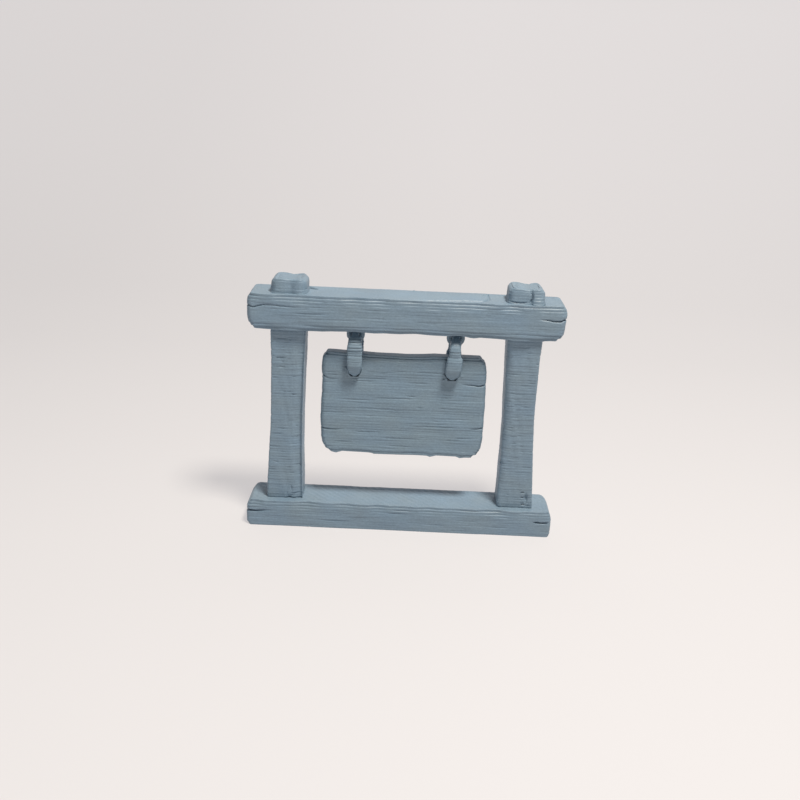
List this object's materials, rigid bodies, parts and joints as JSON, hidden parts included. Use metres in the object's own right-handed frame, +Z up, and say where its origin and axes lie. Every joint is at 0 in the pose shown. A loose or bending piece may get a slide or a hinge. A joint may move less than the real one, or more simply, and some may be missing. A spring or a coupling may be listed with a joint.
{
  "type": "hanging sign",
  "caption": "Free-standing miniature hanging sign: waisted posts on a base rail carry a beam, and a plain board swings under it on closed links.",
  "frame": {"origin": "middle of the base rail's underside, on the surface that the sign stands on", "axes": "+X along the rail to the sign's right, +Y to the back, +Z up"},
  "size_m": [0.023, 0.0032, 0.0191],
  "materials": {
    "timber_plastic": "satin layer-printed plastic, blue-grey, with fine level layer lines",
    "board_plastic": "satin layer-printed plastic, blue-grey, with fine level layer lines",
    "hanger_plastic": "satin layer-printed plastic, blue-grey, coarser layers"
  },
  "bodies": {
    "frame": {"base_rail": "timber_plastic", "left_post": "timber_plastic", "right_post": "timber_plastic", "top_beam": "timber_plastic", "left_staple": "hanger_plastic", "right_staple": "hanger_plastic"},
    "left_link": {"left_link": "hanger_plastic"},
    "right_link": {"right_link": "hanger_plastic"},
    "board": {"sign_board": "board_plastic"}
  },
  "joints": [
    {"name": "left_link_swing", "type": "hinge", "parent": "frame", "child": "left_link", "pos_m": [-0.00369, 0, 0.01462], "axis": [1, 0, 0], "range_deg": [-35, 35]},
    {"name": "right_link_swing", "type": "hinge", "parent": "frame", "child": "right_link", "pos_m": [0.00357, 0, 0.01462], "axis": [1, 0, 0], "range_deg": [-35, 35]},
    {"name": "board_tilt", "type": "hinge", "parent": "left_link", "child": "board", "pos_m": [-0.00369, 0, 0.01304], "axis": [1, 0, 0], "range_deg": [-12, 12]}
  ],
  "couplings": [
    {"joint": "right_link_swing", "follows": "left_link_swing", "ratio": 1}
  ]
}
